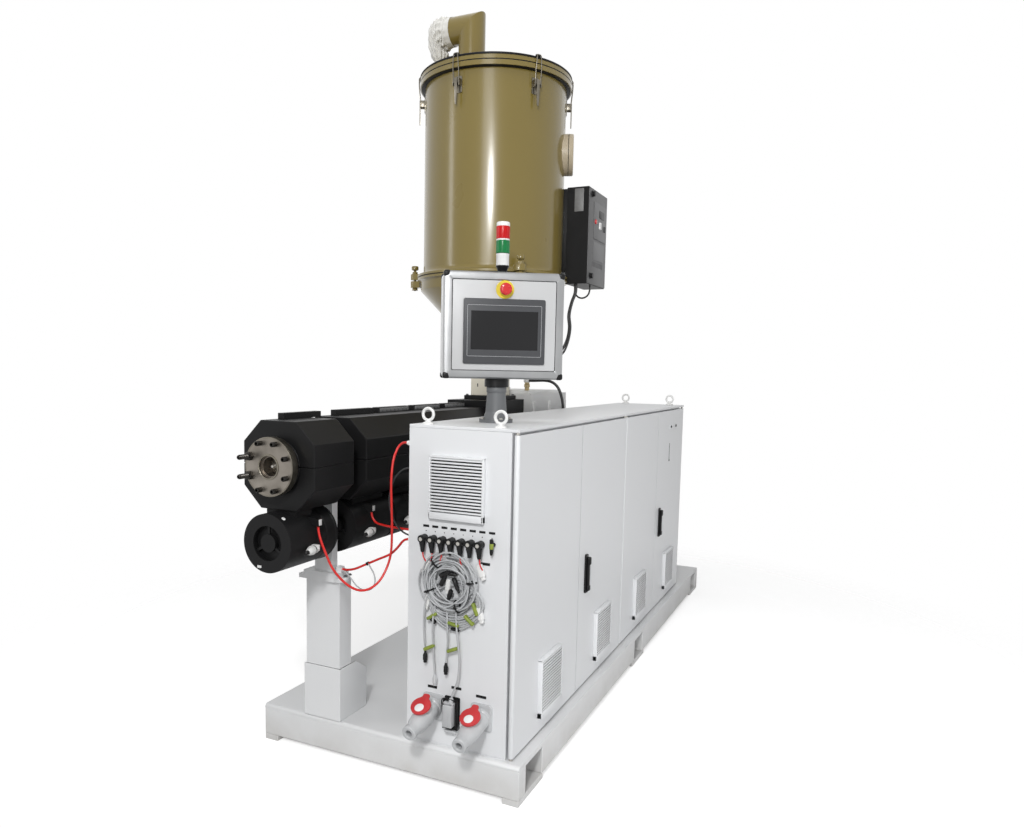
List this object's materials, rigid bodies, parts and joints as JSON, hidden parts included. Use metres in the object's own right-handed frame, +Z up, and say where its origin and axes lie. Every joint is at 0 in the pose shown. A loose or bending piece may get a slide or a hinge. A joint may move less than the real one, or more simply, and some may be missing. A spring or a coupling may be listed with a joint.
{
  "type": "single screw extruder",
  "caption": "Single screw plastics extruder on a steel skid, with an insulated hopper dryer over the feed throat, a long control cabinet with hinged doors and a swivelling operator panel.",
  "frame": {"origin": "on the floor under the middle of the skid", "axes": "+X across the skid to the cabinet doors, +Y back from the die end along the barrel, +Z up"},
  "size_m": [1.1365, 3.155, 2.9975],
  "materials": {
    "beige_paint": "satin",
    "black_cable": "matt",
    "black_satin": "satin black",
    "brushed_aluminium": "brushed",
    "cabinet_paint": "light grey powder coat",
    "cast_grey": "dark grey paint",
    "casting_paint": "light grey paint on a casting",
    "cotton": "woven",
    "dark_bezel": "matt",
    "grey_plastic": "matt",
    "lens_plastic": "gloss",
    "machined_steel": "machined",
    "olive_paint": "metallic paint",
    "red_plastic": "gloss",
    "skid_paint": "light grey textured paint"
  },
  "bodies": {
    "machine": {"base_deck": "skid_paint", "base_beams": "skid_paint", "foot_plates": "skid_paint", "cabinet_floor": "cabinet_paint", "cabinet_roof": "cabinet_paint", "cabinet_front_panel": "cabinet_paint", "cabinet_rear_panel": "cabinet_paint", "cabinet_back_panel": "cabinet_paint", "cabinet_posts": "cabinet_paint", "front_vent": "cabinet_paint", "lifting_eyes": "cabinet_paint", "door_pivots": "machined_steel", "hmi_pedestal": "cast_grey", "barrel_post": "skid_paint", "post_head": "skid_paint", "barrel": "machined_steel", "flange_studs": "machined_steel", "covers_upper": "black_satin", "covers_lower": "black_satin", "terminal_covers": "black_satin", "blowers": "black_satin", "feed_throat": "black_satin", "throat_plate": "black_satin", "gate_box": "beige_paint", "hopper_neck": "olive_paint", "hopper_cone": "olive_paint", "hopper_shell": "olive_paint", "hopper_lid": "olive_paint", "lid_clamps": "machined_steel", "joint_clamps": "olive_paint", "exhaust_elbow": "olive_paint", "filter_cloth": "cotton", "heater_box": "black_satin", "inspection_port": "cast_grey", "gearbox": "casting_paint", "gearbox_stand": "skid_paint", "drive_motor": "cast_grey", "motor_stand": "skid_paint", "power_inlets": "grey_plastic", "inlet_lids": "red_plastic", "panel_plugs": "black_satin", "cable_coil": "grey_plastic", "red_leads": "red_plastic", "grey_leads": "grey_plastic", "black_leads": "black_cable"},
    "door_1": {"door_1": "cabinet_paint", "vent_1": "cabinet_paint"},
    "door_2": {"door_2": "cabinet_paint", "vent_2": "cabinet_paint", "handle_1": "black_satin"},
    "door_3": {"door_3": "cabinet_paint", "vent_3": "cabinet_paint"},
    "door_4": {"door_4": "cabinet_paint", "vent_4": "cabinet_paint", "handle_2": "black_satin"},
    "operator_panel": {"hmi_box": "brushed_aluminium", "hmi_screen": "dark_bezel", "emergency_stop": "red_plastic", "tower_light": "lens_plastic"},
    "screw_rotor": {"screw": "machined_steel"}
  },
  "joints": [
    {"name": "door_1_hinge", "type": "hinge", "parent": "machine", "child": "door_1", "pos_m": [0.457, -1.389, 0.644], "axis": [0, 0, -1], "range_deg": [0, 110]},
    {"name": "door_2_hinge", "type": "hinge", "parent": "machine", "child": "door_2", "pos_m": [0.457, -0.226, 0.644], "axis": [0, 0, 1], "range_deg": [0, 80]},
    {"name": "door_3_hinge", "type": "hinge", "parent": "machine", "child": "door_3", "pos_m": [0.457, -0.202, 0.644], "axis": [0, 0, -1], "range_deg": [0, 80]},
    {"name": "door_4_hinge", "type": "hinge", "parent": "machine", "child": "door_4", "pos_m": [0.457, 0.961, 0.644], "axis": [0, 0, 1], "range_deg": [0, 110]},
    {"name": "panel_swivel", "type": "hinge", "parent": "machine", "child": "operator_panel", "pos_m": [0.2625, -1.13, 1.3153], "axis": [0, 0, 1], "range_deg": [-120, 120]},
    {"name": "screw_spin", "type": "hinge", "parent": "machine", "child": "screw_rotor", "pos_m": [-0.247, -0.8, 1.035], "axis": [0, 1, 0], "continuous": true}
  ]
}
